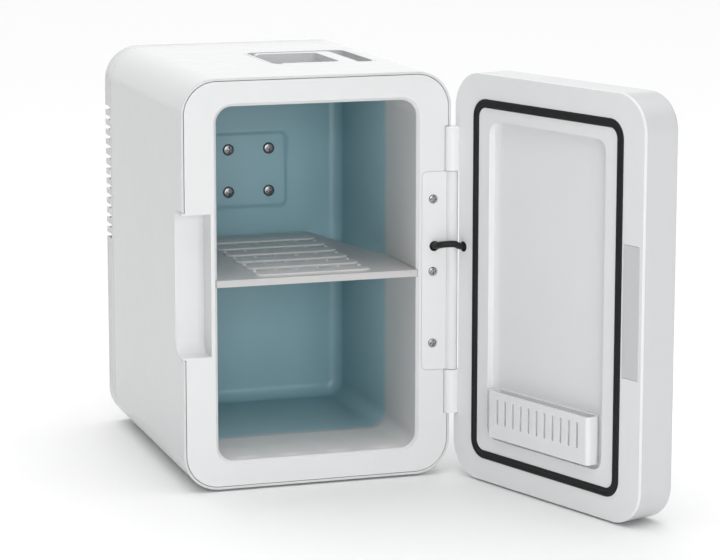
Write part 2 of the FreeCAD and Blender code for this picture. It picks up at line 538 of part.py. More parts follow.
rocker_centre = f"({rear} - 5)"
rocker_hole = block("RockerHole", "XZ", f"{rear} - 12", "13",
                    (rounded, "switch_x", "panel_centre", "switch_width - 3", "switch_height - 3", "0.4"))
rocker_pin_hole = rod("RockerPinHole", ("switch_x - switch_width / 2 + 0.3", rocker_centre, "panel_centre"),
                      "rocker_pin + shaft_clearance", "switch_width - 0.6", "X")
keep("switch_housing", without("SwitchHousingCut",
                               inletHousing("SwitchHousing", "switch_x", "switch_width", "switch_height", "1"),
                               [rocker_hole, rocker_pin_hole]))
rocker_width = "(switch_width - 3 - 2 * rocker_gap)"
rocker_height = "(switch_height - 3 - 2 * rocker_gap - 1.2)"
rocker_blank = box("RockerBlank", (f"switch_x - {rocker_width} / 2", f"{rocker_centre} - 2.5", f"panel_centre - {rocker_height} / 2"),
                   (rocker_width, "8.2", rocker_height))
rocker_dish = rod("RockerDish", ("switch_x - switch_width", f"{rocker_centre} + 27.2", "panel_centre"), "23.5", "2 * switch_width", "X")
rocker_pins = rod("RockerPins", ("switch_x - switch_width / 2 + 0.7", rocker_centre, "panel_centre"), "rocker_pin", "switch_width - 1.4", "X")
keep("mode_rocker", joined("ModeRocker", [without("RockerBody", rocker_blank, [rocker_dish]), rocker_pins]))
keep("control_board", block("ControlBoard", "XZ", f"{cover_inner} - inlet_body_depth - board_thickness", "board_thickness",
                            (rounded, "0", "panel_centre", "board_width", "board_height", "1.5")))

# ---- feet

keep("feet", joined("Feet", [rod(f"Foot{index}", (f"{x} * foot_span_x / 2", f"{y} * foot_span_y / 2", "0"),
                                 "foot_radius", "foot_height")
                             for index, (x, y) in enumerate([(-1, -1), (1, -1), (1, 1), (-1, 1)])]))

# ---- carry handle: a bail that lies in a cup in the top and swings up about the middle

cup_floor = "(total_height - handle_cup_depth)"
pivot_z = "(total_height - handle_sunk - handle_thickness / 2)"
cup = doc.addObject("PartDesign::Body", "HandleCup")
pad(cup, "XY", f"{cup_floor} - handle_cup_wall", "handle_cup_depth + handle_cup_wall",
    (rounded, handle_x, handle_y, "handle_cup_width", "handle_cup_length", "handle_cup_radius"))
pocket(cup, "XY", cup_floor, "handle_cup_depth",
       (rounded, handle_x, handle_y, "handle_cup_width - 2 * handle_cup_wall",
        "handle_cup_length - 2 * handle_cup_wall", "handle_cup_radius - handle_cup_wall"))
cup_inside = "(handle_cup_length - 2 * handle_cup_wall)"
pin_tip = "(handle_cup_wall - 0.5)"
keep("handle_cup", without("HandleCupBored", cup, [
    rod("HandlePinHole", ("0", f"{handle_y} - {cup_inside} / 2 - {pin_tip} - 0.2", pivot_z),
        "handle_pin + shaft_clearance", f"{cup_inside} + 2 * {pin_tip} + 0.4", "Y")]))
bail_width = f"({cup_inside} - 2 * handle_gap)"
bail = doc.addObject("PartDesign::Body", "HandleBail")
bail_bottom = f"({pivot_z} - handle_thickness / 2)"
pad(bail, "XY", bail_bottom, "handle_thickness",
    (rounded, "handle_reach / 2 - 5", handle_y, "handle_reach + 10", bail_width, "6.5"))
pocket(bail, "XY", bail_bottom, "handle_thickness",
       (rounded, "(handle_reach - handle_grip) / 2 - 10", handle_y, "handle_reach - handle_grip + 20",
        f"{bail_width} - 2 * handle_arm", "5"))
bail_trimmed = without("HandleBailTrimmed", bail, [
    box("HandleBailTrim", (f"-{beyond}", f"{handle_y} - handle_cup_length", f"{bail_bottom} - 1"),
        (str(beyond), "2 * handle_cup_length", "handle_thickness + 2"))])
bail_parts = [bail_trimmed]
for index, side in enumerate((-1, 1)):
    arm_start = f"{handle_y} + {side} * {bail_width} / 2 - ({side} + 1) / 2 * handle_arm"
    bail_parts.append(rod(f"HandleEar{index}", ("0", arm_start, pivot_z), "handle_thickness / 2", "handle_arm", "Y"))
    tip = f"{handle_y} + {side} * {cup_inside} / 2 + ({side} - 1) / 2 * {pin_tip} - ({side} + 1) / 2 * (handle_gap + 1)"
    bail_parts.append(rod(f"HandlePin{index}", ("0", tip, pivot_z), "handle_pin", f"{pin_tip} + handle_gap + 1", "Y"))
keep("carry_handle", joined("CarryHandle", bail_parts))

# ---- hinge

leaf_centre = "(barrel_top + barrel_bottom) / 2"
leaf_height = "(barrel_top - barrel_bottom)"
leaf = doc.addObject("PartDesign::Body", "HingeLeaf")
pad(leaf, "XZ", front, "leaf_thickness",
    (rounded, f"{hinge_x} - (leaf_width - 10) / 2", leaf_centre, "leaf_width + 10", leaf_height, "leaf_radius"))
leaf_trim = box("LeafTrim", (hinge_x, f"{front} - 1", "barrel_bottom - 1"), (str(beyond), "leaf_thickness + 2", f"{leaf_height} + 2"))
barrel = rod("HingeBarrel", (hinge_x, hinge_y, "barrel_bottom"), "barrel_radius", leaf_height)
leaf_whole = joined("HingeWhole", [without("LeafTrimmed", leaf, [leaf_trim]), barrel])
leaf_counterbores = [rod(f"LeafCounterbore{index}", (x, f"{front} - 1", z), "leaf_screw_head + 0.3", "2", "Y")
                     for index, (x, y, z) in enumerate(leaf_screw_places)]
keep("hinge_plate", without("HingePlate", leaf_whole, [
    rod("PinBore", (hinge_x, hinge_y, "barrel_bottom - 1"), "hinge_pin + 0.02", f"{leaf_height} + 2"),
    rod("LeafCableHole", ("cable_x", f"{front} - 1", "cable_z"), "cable_hole", "leaf_thickness + 2", "Y")]
    + leaf_counterbores
    + [rod(f"LeafScrewHole{index}", (x, f"{front} - 1", z), "leaf_screw_radius + shaft_clearance", "leaf_thickness + 2", "Y")
       for index, (x, y, z) in enumerate(leaf_screw_places)]))
screws("hinge_screws", leaf_screw_places, "leaf_screw_head", "0.9", "leaf_screw_radius", "leaf_screw_length")
keep("hinge_pin", rod("HingePin", (hinge_x, hinge_y, "barrel_bottom - knuckle_reach + 3"), "hinge_pin",
                      f"{leaf_height} + 2 * knuckle_reach - 6"))

# ---- strike plates for the catch, behind the frame

strike_places = [f"mouth_centre + {over} * magnet_spread / 2 - magnet_length / 2" for over in (-1, 1)]
keep("strike_plates", joined("StrikePlates", [
    box(f"Strike{index}", ("-magnet_x - magnet_width / 2", frame_back, z), ("magnet_width", "1.2", "magnet_length"))
    for index, z in enumerate(strike_places)]))

# ---- door, modelled shut and then swung open about the hinge

shell_depth = f"({panel_back} - {door_outer})"
door_shell = doc.addObject("PartDesign::Body", "DoorShell")
door_blank = pad(door_shell, "XZ", door_outer, shell_depth, outline())
doc.recompute()
door_edges = [f"Edge{index}" for index, edge in enumerate(door_blank.Shape.Edges, 1)
              if all(abs(vertex.Y - number(door_outer)) < 0.01 for vertex in edge.Vertexes)]
edge_round = door_shell.newObject("PartDesign::Fillet", "DoorShellRound")
edge_round.Base = (door_blank, door_edges)
edge_round.setExpression("Radius", bound("door_edge_radius"))
door_shell.Tip = edge_round
pocket(door_shell, "XZ", f"{door_outer} + door_wall + mirror_thickness", shell_depth, outline("door_wall"))
mirror_outline = (rounded, "0", mid_height, "mirror_width", "mirror_height", "mirror_radius")
light_outline = (rounded, "0", mid_height, "mirror_width + 2 * light_band", "mirror_height + 2 * light_band",
                 "mirror_radius + light_band")
front_well = block("FrontWell", "XZ", f"{door_outer} - 1", "mirror_thickness + 1",
                   (rounded, "0", mid_height, "mirror_width + 2 * light_band + 2 * seam_gap",
                    "mirror_height + 2 * light_band + 2 * seam_gap", "mirror_radius + light_band + seam_gap"))
light_groove = block("LightGroove", "XZ", f"{door_outer} + mirror_thickness - 0.5", "light_board + 0.5",
                     light_outline, (rounded, "0", mid_height, "mirror_width - 4", "mirror_height - 4", "mirror_radius - 2"))
button_hole = rod("ButtonHole", ("0", f"{door_outer} - 1", "button_z"), "button_radius + 0.1", "door_wall + mirror_thickness + 2", "Y")
knuckle_relief = hingeSpace("DoorHingeRelief", "0.2")
barrel_relief = rod("BarrelRelief", (hinge_x, hinge_y, "barrel_bottom - hinge_gap"), "barrel_radius + hinge_gap",
                    f"{leaf_height} + 2 * hinge_gap")
keep("door_shell", without("DoorShellCut", door_shell, [front_well, light_groove, button_hole, knuckle_relief]))

panel_plate = doc.addObject("PartDesign::Body", "PanelPlate")
pad(panel_plate, "XZ", panel_back, "panel_thickness", outline())
tray = block("PanelTray", "XZ", f"{recess_floor} - panel_thickness", f"recess_depth",
             (rounded, "0", "(recess_top + recess_bottom) / 2", "recess_width + 2 * panel_thickness",
              "recess_top - recess_bottom + 2 * panel_thickness", "recess_radius + panel_thickness"))
tray_hollow = block("PanelTrayHollow", "XZ", recess_floor, "recess_depth + 1",
                    (rounded, "0", "(recess_top + recess_bottom) / 2", "recess_width",
                     "recess_top - recess_bottom", "recess_radius"))
gasket_outer = (rounded, "0", "gasket_centre", "gasket_width", "gasket_height", "gasket_radius")
gasket_inner = (rounded, "0", "gasket_centre", "gasket_width - 2 * gasket_band", "gasket_height - 2 * gasket_band",
                "gasket_radius - gasket_band")
gasket_groove = block("GasketGroove", "XZ", f"{door_inner} - gasket_sunk", "gasket_sunk + 1", gasket_outer, gasket_inner)
pull_centre = "(-(body_width / 2 - pull_edge - pull_width / 2))"
pull_well = block("PullWell", "XZ", f"{door_inner} - pull_thickness", "pull_thickness + 1",
                  (rounded, pull_centre, "(pull_top + pull_bottom) / 2", "pull_width", "pull_top - pull_bottom", "1.2"))
knuckles = []
for index, base in enumerate(["barrel_bottom - hinge_gap - knuckle_reach", "barrel_top + hinge_gap"]):
    knuckles.append(rod(f"Knuckle{index}", (hinge_x, hinge_y, base), "knuckle_radius", "knuckle_reach"))
    knuckles.append(box(f"KnuckleWeb{index}", (f"{hinge_x} - knuckle_radius", panel_back, base),
                        ("knuckle_radius - hinge_out", f"panel_thickness + door_gap + hinge_back", "knuckle_reach")))
panel_whole = joined("PanelWhole", [without("PanelBored", joined("PanelBlank", [panel_plate, tray]), [knuckle_relief])] + knuckles)
keep("door_inner_panel", without("DoorInnerPanel", panel_whole, [
    tray_hollow, gasket_groove, pull_well, barrel_relief,
    rod("PanelCableHole", ("cable_door_x", f"{panel_back} - 1", "cable_z"), "cable_hole", "panel_thickness + 2", "Y"),
    rod("KnuckleBore", (hinge_x, hinge_y, "barrel_bottom - knuckle_reach + 2.6"), "hinge_pin + shaft_clearance",
        f"{leaf_height} + 2 * knuckle_reach - 5.2")]))
keep("door_gasket", block("DoorGasket", "XZ", f"{door_inner} - gasket_sunk", "gasket_sunk + gasket_proud",
                          (rounded, "0", "gasket_centre", "gasket_width - 0.1", "gasket_height - 0.1", "gasket_radius - 0.05"),
                          (rounded, "0", "gasket_centre", "gasket_width - 2 * gasket_band + 0.1",
                           "gasket_height - 2 * gasket_band + 0.1", "gasket_radius - gasket_band + 0.05")))
keep("pull_cover", block("PullCover", "XZ", f"{door_inner} - pull_thickness", "pull_thickness",
                         (rounded, pull_centre, "(pull_top + pull_bottom) / 2", "pull_width - 0.4",
                          "pull_top - pull_bottom - 0.4", "1")))
foam_start = f"({door_outer} + mirror_thickness + door_wall)"
door_foam = block("DoorFoam", "XZ", f"{foam_start} + 0.1", f"{panel_back} - {foam_start} - 0.2", outline("door_wall + seam_gap"))
keep("door_insulation", without("DoorInsulation", door_foam, [
    block("DoorFoamTray", "XZ", f"{recess_floor} - panel_thickness - seam_gap", "recess_depth + 5",
          (rounded, "0", "(recess_top + recess_bottom) / 2", "recess_width + 2 * panel_thickness + 2 * seam_gap",
           "recess_top - recess_bottom + 2 * panel_thickness + 2 * seam_gap",
           "recess_radius + panel_thickness + seam_gap")),
    hingeSpace("DoorFoamHinge", "0.8"),
    rod("DoorFoamCable", ("cable_door_x", foam_start, "cable_z"), "cable_hole", "total_depth", "Y"),
    rod("DoorFoamButton", ("0", f"{foam_start} - 1", "button_z"), "button_radius + 1", "4", "Y"),
    box("DoorFoamMagnets", ("-magnet_x - magnet_width / 2 - 0.2", f"{panel_back} - magnet_thickness - 0.2",
                            "mouth_centre - magnet_spread / 2 - magnet_length / 2 - 0.2"),
        ("magnet_width + 0.4", "magnet_thickness + 1", "magnet_spread + magnet_length + 0.4"))]))
keep("catch_magnets", joined("CatchMagnets", [
    box(f"Magnet{index}", ("-magnet_x - magnet_width / 2", f"{panel_back} - magnet_thickness", z),
        ("magnet_width", "magnet_thickness", "magnet_length")) for index, z in enumerate(strike_places)]))

door_bin = doc.addObject("PartDesign::Body", "DoorBin")
bin_height = "(bin_top - bin_bottom)"
pad(door_bin, "XY", "bin_bottom", bin_height,
    (rounded, "0", f"{recess_floor} + bin_depth / 2", "bin_width", "bin_depth", "bin_radius"))
pocket(door_bin, "XY", "bin_bottom + bin_wall", bin_height,
       (rounded, "0", f"{recess_floor} + bin_depth / 2", "bin_width - 2 * bin_wall", "bin_depth - 2 * bin_wall",
        "bin_radius - bin_wall"))
slot = pocket(door_bin, "XZ", f"{recess_floor} + bin_depth - bin_wall - 0.5", "bin_wall + 1",
              (rounded, "-slot_pitch * (slot_count - 1) / 2", "(slot_top + slot_bottom) / 2", "slot_width",
               "slot_top - slot_bottom", "slot_width / 2 - 0.05"))
repeat(door_bin, slot, "H_Axis", "slot_pitch", "slot_count")
keep("door_bin", door_bin)

mirror_gap_outline = (rounded, "0", mid_height, "mirror_width + 0.2", "mirror_height + 0.2", "mirror_radius + 0.1")
keep("door_mirror", block("DoorMirror", "XZ", door_outer, "mirror_thickness", mirror_outline))
keep("light_ring", block("LightRing", "XZ", door_outer, "light_thickness", light_outline, mirror_gap_outline))
keep("light_board", block("LightBoard", "XZ", f"{door_outer} + mirror_thickness", "light_board - 0.1",
                          (rounded, "0", mid_height, "mirror_width + 2 * light_band - 1",
                           "mirror_height + 2 * light_band - 1", "mirror_radius + light_band - 0.5"),
                          (rounded, "0", mid_height, "mirror_width - 3", "mirror_height - 3", "mirror_radius - 1.5")))
keep("touch_button", rod("TouchButton", ("0", f"{door_outer} - 0.2", "button_z"), "button_radius", "button_length", "Y"))

door_labels = ["door_shell", "door_inner_panel", "door_gasket", "pull_cover", "door_insulation", "catch_magnets",
               "door_bin", "door_mirror", "light_ring", "light_board", "touch_button"]

cos_open = "cos(open_angle)"
sin_open = "sin(open_angle)"


def swungOpen(label):
    """A compound of the shut piece whose Placement turns it about the hinge axis."""
    shut = pieces[label]
    shut.Label = label + "_shut"
    turned = doc.addObject("Part::Compound", label.title().replace("_", "") + "Open")
    turned.Links = [shut]
    turned.Placement = FreeCAD.Placement(FreeCAD.Vector(), FreeCAD.Rotation(FreeCAD.Vector(0, 0, 1), 1))
    turned.setExpression("Placement.Rotation.Angle", bound("open_angle"))
    turned.setExpression("Placement.Base.x", bound(f"{hinge_x} - {hinge_x} * {cos_open} + {hinge_y} * {sin_open}"))
    turned.setExpression("Placement.Base.y", bound(f"{hinge_y} - {hinge_x} * {sin_open} - {hinge_y} * {cos_open}"))
    keep(label, turned)


for label in door_labels:
    swungOpen(label)

# ---- cable between the cabinet and the door, with a grommet in each hole

opening = math.radians(number("open_angle"))
door_axis = FreeCAD.Vector(number(hinge_x), number(hinge_y), 0)


def opened(x, y, z):
    """Where a point of the shut door lies when the door is open."""
    turn = FreeCAD.Rotation(FreeCAD.Vector(0, 0, 1), math.degrees(opening))
    return turn.multVec(FreeCAD.Vector(x, y, z) - door_axis) + door_axis


def routed(points):
    """A wire of straight runs joined by tangent arcs, each as large as its two runs allow."""
    edges = []
    start = points[0]
    for before, corner, after in zip(points, points[1:], points[2:]):
        back = (before - corner).normalize()
        ahead = (after - corner).normalize()
        half = (math.pi - back.getAngle(ahead)) / 2
        shorter = min((before - corner).Length, (after - corner).Length)
        radius = 0.45 * shorter / math.tan(half)
        print(f"cable arc radius {radius:.1f} mm")
        tangent = 0.45 * shorter
        enter = corner + back * tangent
        leave = corner + ahead * tangent
        middle = corner + (back + ahead).normalize() * (radius / math.cos(half) - radius)
        edges.append(Part.LineSegment(start, enter).toShape())
        edges.append(Part.Arc(enter, middle, leave).toShape())
        start = leave
    edges.append(Part.LineSegment(start, points[-1]).toShape())
    return Part.Wire(edges)


cable_x, cable_z, front_y = number("cable_x"), number("cable_z"), number(front)
door_x, door_y = number("cable_door_x"), number(door_inner)
tail, out, lead = number("cable_tail"), number("cable_out"), number("cable_lead")
rise = number("cable_rise")
frame_middle, panel_middle = number("frame_thickness") / 2, number("panel_thickness") / 2
cabinet_drop = rise * (tail - frame_middle) / (out + frame_middle)
door_drop = rise * (tail - panel_middle) / (lead + panel_middle)
route = routed([
    FreeCAD.Vector(cable_x, front_y + tail, cable_z - cabinet_drop),
    FreeCAD.Vector(cable_x, front_y - out, cable_z + rise),
    opened(door_x, door_y + lead, cable_z + rise),
    opened(door_x, door_y - tail, cable_z - door_drop)])
start_direction = route.Edges[0].tangentAt(route.Edges[0].FirstParameter)
section = Part.Wire(Part.Circle(route.Vertexes[0].Point, start_direction, number("cable_radius")).toShape())
cable = doc.addObject("Part::Feature", "HingeCable")
cable.Shape = route.makePipeShell([section], True, False)
expected = math.pi * number("cable_radius") ** 2 * route.Length
print(f"cable volume is {cable.Shape.Volume / expected:.4f} of its section times its length")
keep("hinge_cable", cable)

grommet_bore = "cable_hole - grommet_wall"
keep("cabinet_grommet", without("CabinetGrommet",
                                rod("CabinetGrommetBlank", ("cable_x", front, "cable_z"), "cable_hole - 0.05",
                                    "frame_thickness", "Y"),
                                [rod("CabinetGrommetBore", ("cable_x", f"{front} - 1", "cable_z"), grommet_bore,
                                     "frame_thickness + 2", "Y")]))
keep("door_grommet", without("DoorGrommet",
                             rod("DoorGrommetBlank", ("cable_door_x", panel_back, "cable_z"), "cable_hole - 0.05",
                                 "panel_thickness", "Y"),
                             [rod("DoorGrommetBore", ("cable_door_x", f"{panel_back} - 1", "cable_z"), grommet_bore,
                                  "panel_thickness + 2", "Y")]))
swungOpen("door_grommet")

# ---- write

doc.recompute()
for item in doc.Objects:
    if "Invalid" in item.State or "Error" in item.State:
        raise SystemExit(f"{item.Name} is {item.State}")
os.makedirs("parts", exist_ok=True)
for label, item in pieces.items():
    shape = item.Shape
    if shape.isNull() or not shape.isValid():
        raise SystemExit(f"{label} has no valid shape")
    shape.exportStep(f"parts/{label}.step")
    print(f"{label:22s} {len(shape.Solids)} solids, {shape.Volume:10.0f} mm3")
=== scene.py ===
import json
import math
import bmesh
import bpy
import numpy as np
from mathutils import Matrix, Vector


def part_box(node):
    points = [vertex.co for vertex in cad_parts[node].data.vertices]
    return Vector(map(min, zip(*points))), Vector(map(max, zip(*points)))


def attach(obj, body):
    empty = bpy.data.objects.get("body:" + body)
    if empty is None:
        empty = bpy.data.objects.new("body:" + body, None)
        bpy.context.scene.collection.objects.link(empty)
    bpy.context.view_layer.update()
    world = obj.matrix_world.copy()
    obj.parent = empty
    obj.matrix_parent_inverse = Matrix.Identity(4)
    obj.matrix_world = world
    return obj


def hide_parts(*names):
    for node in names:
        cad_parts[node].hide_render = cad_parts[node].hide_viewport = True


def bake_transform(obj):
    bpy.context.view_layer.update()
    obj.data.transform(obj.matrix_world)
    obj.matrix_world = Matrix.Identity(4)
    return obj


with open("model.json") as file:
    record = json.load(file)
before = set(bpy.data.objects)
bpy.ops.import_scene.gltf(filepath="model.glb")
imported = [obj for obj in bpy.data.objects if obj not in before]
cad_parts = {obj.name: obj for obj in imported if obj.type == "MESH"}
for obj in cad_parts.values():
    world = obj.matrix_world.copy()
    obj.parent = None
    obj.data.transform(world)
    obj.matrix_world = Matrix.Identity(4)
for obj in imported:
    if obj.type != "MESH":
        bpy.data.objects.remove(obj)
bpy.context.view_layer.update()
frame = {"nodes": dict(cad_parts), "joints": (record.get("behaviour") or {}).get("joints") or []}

print("mini fridge: frame loaded,", len(frame["nodes"]), "nodes")


# ---- shader helpers

class Signal:
    # a node's output socket that can be used in sums
    def __init__(self, board, socket):
        self.board = board
        self.socket = socket

    def combine(self, operation, first, second):
        return self.board.node("ShaderNodeMath", {"operation": operation}, {0: first, 1: second})

    def __add__(self, other):
        return self.combine("ADD", self, other)

    def __radd__(self, other):
        return self.combine("ADD", other, self)

    def __sub__(self, other):
        return self.combine("SUBTRACT", self, other)

    def __mul__(self, other):
        return self.combine("MULTIPLY", self, other)


class Board:
    # one material: the Principled shader and the nodes that feed it
    def __init__(self, name, **uniform):
        self.material = bpy.data.materials.new(name)
        self.material.use_nodes = True
        self.tree = self.material.node_tree
        self.shader = self.tree.nodes["Principled BSDF"]
        for socket, value in uniform.items():
            self.shader.inputs[socket.replace("_", " ")].default_value = value
        self.place = self.node("ShaderNodeTexCoord", {}, {}, "Object")

    def node(self, kind, settings, inputs, output=0):
        made = self.tree.nodes.new(kind)
        for key, value in settings.items():
            setattr(made, key, value)
        for key, value in inputs.items():
            if isinstance(value, Signal):
                self.tree.links.new(value.socket, made.inputs[key])
            else:
                made.inputs[key].default_value = value
        return Signal(self, made.outputs[output])

    def noise(self, scale, detail=2.0, roughness=0.5):
        return self.node("ShaderNodeTexNoise", {}, {
            "Vector": self.place, "Scale": scale, "Detail": detail, "Roughness": roughness})

    def axis(self, name):
        return self.node("ShaderNodeSeparateXYZ", {}, {"Vector": self.place}, name)

    def blend(self, factor, low, high):
        # a colour between low and high
        return self.node("ShaderNodeMix", {"data_type": "RGBA"}, {0: factor, 6: (*low, 1), 7: (*high, 1)}, 2)

    def feed(self, socket, signal):
        self.tree.links.new(signal.socket, self.shader.inputs[socket])

    def bump(self, height, strength, distance):
        self.feed("Normal", self.node("ShaderNodeBump", {}, {
            "Height": height, "Strength": strength, "Distance": distance}))


usualPlastic = {"flowScale": 14, "mottle": 0.02, "roughSpread": 0.08, "grainScale": 2600, "grain": 0.06}


def moulded(name, look):
    # moulded plastic: a faint flow mottling in the colour, uneven gloss and a fine eroded grain
    look = {**usualPlastic, **look}
    board = Board(name, IOR=1.5)
    flow = board.noise(look["flowScale"], 3)
    tone = look["colour"]
    board.feed("Base Color", board.blend(flow, [c * (1 - look["mottle"]) for c in tone], tone))
    board.feed("Roughness", look["rough"] + (board.noise(60, 3) - 0.5) * look["roughSpread"])
    board.bump(board.noise(look["grainScale"], 2), look["grain"], 0.0002)
    return board.material


def metal(name, look):
    # machined or rolled metal, brushed along one axis
    board = Board(name, Metallic=1.0)
    stretched = board.node("ShaderNodeMapping", {}, {
        "Vector": board.place, "Scale": look.get("brush", (1, 1, 40))})
    lines = board.node("ShaderNodeTexNoise", {}, {"Vector": stretched, "Scale": 90.0, "Detail": 4.0})
    board.feed("Base Color", board.blend(lines, [c * 0.86 for c in look["colour"]], look["colour"]))
    board.feed("Roughness", look["rough"] + (lines - 0.5) * 0.14)
    board.bump(lines, 0.08, 0.0003)
    return board.material


def rubber(name, look):
    # soft black rubber with a dull bloom and fine pores
    board = Board(name, Specular_IOR_Level=0.22)
    bloom = board.noise(70, 4)
    board.feed("Base Color", board.blend(bloom, look["colour"], [c * 1.5 for c in look["colour"]]))
    board.feed("Roughness", look["rough"] + (bloom - 0.5) * 0.12)
    board.bump(board.noise(1300, 3), 0.35, 0.0006)
    return board.material


def beadFoam(name, look):
    # expanded beads pressed together
    board = Board(name)
    cells = board.node("ShaderNodeTexVoronoi", {}, {"Vector": board.place, "Scale": 320.0}, "Distance")
    board.feed("Base Color", board.blend(cells, look["colour"], [c * 0.9 for c in look["colour"]]))
    board.feed("Roughness", look["rough"] + cells * 0.1)
    board.bump(cells, 0.4, 0.0006)
    return board.material


def linerBluePaintedShade(name, look):
    # the liner's sheet: grey along its front edge, then blue, with painted shade making it darker towards the
    # back
    board = Board(name, IOR=1.5)
    # painted shade: the blue falls from colour to the darker deep colour as the liner runs back into the
    # cabinet
    depth = board.node("ShaderNodeMapRange", {}, {
        "Value": board.axis("Y"), "From Min": look["near"], "From Max": look["paintedShadeEnd"]})
    tone = board.blend(depth, look["colour"], look["deep"])
    wavering = board.axis("Y") + (board.noise(30, 2) - 0.5) * 0.004
    edge = board.node("ShaderNodeMapRange", {"interpolation_type": "SMOOTHSTEP"}, {
        "Value": wavering, "From Min": look["near"], "From Max": look["edgeEnd"]})
    board.feed("Base Color", board.node("ShaderNodeMix", {"data_type": "RGBA"}, {
        0: edge, 6: (*look["edge"], 1), 7: tone}, 2))
    board.feed("Roughness", look["rough"] + (board.noise(40, 3) - 0.5) * 0.1)
    board.bump(board.noise(24, 2) + board.noise(900, 2) * 0.15, 0.08, 0.002)
    return board.material


def frosted(name, look):
    # partly clear plastic with a fine grain: painted light makes the raised ribs paler and painted shade
    # makes the web between them darker
    board = Board(name, Transmission_Weight=look["clear"], IOR=1.49)
    # painted light and shade by height: the crests get the pale colour, the web the darker low colour; noise
    # adds a faint cloud
    raised = board.node("ShaderNodeMapRange", {}, {
        "Value": board.axis("Z"), "From Min": look["web"], "From Max": look["crest"]})
    ribLightAndCloud = raised * 0.85 + board.noise(30, 3) * 0.15
    board.feed("Base Color", board.blend(ribLightAndCloud, look["low"], look["colour"]))
    board.feed("Roughness", look["rough"] + (board.noise(300, 3) - 0.5) * 0.1)
    board.bump(board.noise(1500, 2), 0.1, 0.0003)
    return board.material


def greyCollar(name, look):
    # the grey sheet of the mouth, with painted light making its upward-facing floor paler
    board = Board(name, IOR=1.5)
    # painted light: the floor takes the paler colour because it faces up into the light; a little noise
    # mottles it
    height = board.node("ShaderNodeMapRange", {}, {
        "Value": board.axis("Z"), "From Min": look["floorEnd"], "From Max": look["floorStart"]})
    floorLightAndMottle = height * 0.92 + board.noise(18, 3) * 0.08
    board.feed("Base Color", board.blend(floorLightAndMottle, look["colour"], look["pale"]))
    board.feed("Roughness", look["rough"] + (board.noise(60, 3) - 0.5) * 0.08)
    board.bump(board.noise(2200, 2), 0.08, 0.0002)
    return board.material


def circuitBoard(name, look):
    # solder mask over copper tracks
    board = Board(name)
    tracks = board.node("ShaderNodeTexBrick", {}, {
        "Vector": board.place, "Scale": 120.0, "Mortar Size": 0.03, "Color1": (0, 0, 0, 1),
        "Color2": (0.2, 0.2, 0.2, 1), "Mortar": (1, 1, 1, 1)})
    board.feed("Base Color", board.blend(tracks, look["colour"], look["track"]))
    board.feed("Roughness", 0.4 + (board.noise(90, 2) - 0.5) * 0.1)
    board.bump(tracks, 0.2, 0.0003)
    return board.material


def mirrorGlass(name, look):
    # silvered glass with the faintest haze
    board = Board(name, Metallic=1.0, Coat_Weight=1.0, Coat_Roughness=0.02)
    haze = board.noise(9, 4)
    board.feed("Base Color", board.blend(haze, look["colour"], [c * 0.97 for c in look["colour"]]))
    board.feed("Roughness", look["rough"] + haze * 0.02)
    return board.material


finishes = {
    # painted shade: the shell and door whites are the same white plastic as the front frame, set darker to
    # stand in for the shade on their less lit faces
    "white": moulded("shellWhitePaintedShade", {"colour": (0.635, 0.643, 0.65), "rough": 0.24, "grain": 0.05}),
    "door": moulded("doorWhitePaintedShade", {"colour": (0.60, 0.608, 0.615), "rough": 0.3, "grain": 0.05}),
    "front": moulded("frontWhite", {"colour": (0.72, 0.728, 0.732), "rough": 0.36, "grain": 0.05}),
    "doorLining": moulded("doorLiningWhite", {"colour": (0.80, 0.808, 0.815), "rough": 0.34, "grain": 0.05}),
    "plate": moulded("hingePlateWhite", {"colour": (0.74, 0.745, 0.75), "rough": 0.42, "grain": 0.09}),
    "collar": greyCollar("collarGrey", {
        "colour": (0.71, 0.705, 0.70), "pale": (0.86, 0.85, 0.83), "rough": 0.42,
        "floorStart": 0.022, "floorEnd": 0.029}),
    "liner": linerBluePaintedShade("linerBluePaintedShade", {
        "colour": (0.46, 0.66, 0.72), "deep": (0.25, 0.42, 0.475), "rough": 0.33,
        "near": -0.0525, "paintedShadeEnd": 0.065, "edge": (0.71, 0.705, 0.70), "edgeEnd": -0.040}),
    "shelf": frosted("shelfFrosted", {
        "colour": (0.93, 0.915, 0.90), "low": (0.74, 0.73, 0.725), "rough": 0.34,
        "clear": 0.35, "web": 0.1483, "crest": 0.1494}),
    "black": moulded("fineBlack", {"colour": (0.018, 0.018, 0.02), "rough": 0.5, "grain": 0.15}),
    "button": moulded("buttonGrey", {"colour": (0.5, 0.51, 0.52), "rough": 0.3}),
    "diffuser": moulded("lightDiffuser", {"colour": (0.86, 0.86, 0.85), "rough": 0.5, "grain": 0.1}),
    "ceramic": moulded("moduleCeramic", {"colour": (0.75, 0.75, 0.72), "rough": 0.6, "grain": 0.2}),
    "foam": beadFoam("beadFoam", {"colour": (0.82, 0.82, 0.8), "rough": 0.8}),
    "rubber": rubber("footRubber", {"colour": (0.015, 0.015, 0.015), "rough": 0.75}),
    "seal": rubber("sealRubber", {"colour": (0.012, 0.012, 0.013), "rough": 0.58}),
    "sheath": rubber("cableSheath", {"colour": (0.012, 0.012, 0.013), "rough": 0.42}),
    "aluminium": metal("millAluminium", {"colour": (0.72, 0.73, 0.74), "rough": 0.34}),
    "zinc": metal("zincScrew", {"colour": (0.55, 0.55, 0.56), "rough": 0.3, "brush": (20, 1, 20)}),
    "greySteel": metal("hingeScrewSteel", {
        "colour": (0.36, 0.36, 0.37), "rough": 0.26, "brush": (20, 1, 20)}),
    "darkSteel": metal("blackenedScrew", {"colour": (0.24, 0.24, 0.25), "rough": 0.28, "brush": (20, 1, 20)}),
    "board": circuitBoard("solderMask", {"colour": (0.01, 0.14, 0.05), "track": (0.05, 0.3, 0.12)}),
    "mirror": mirrorGlass("silveredGlass", {"colour": (0.88, 0.9, 0.91), "rough": 0.03}),
}
print("finishes made:", len(finishes))

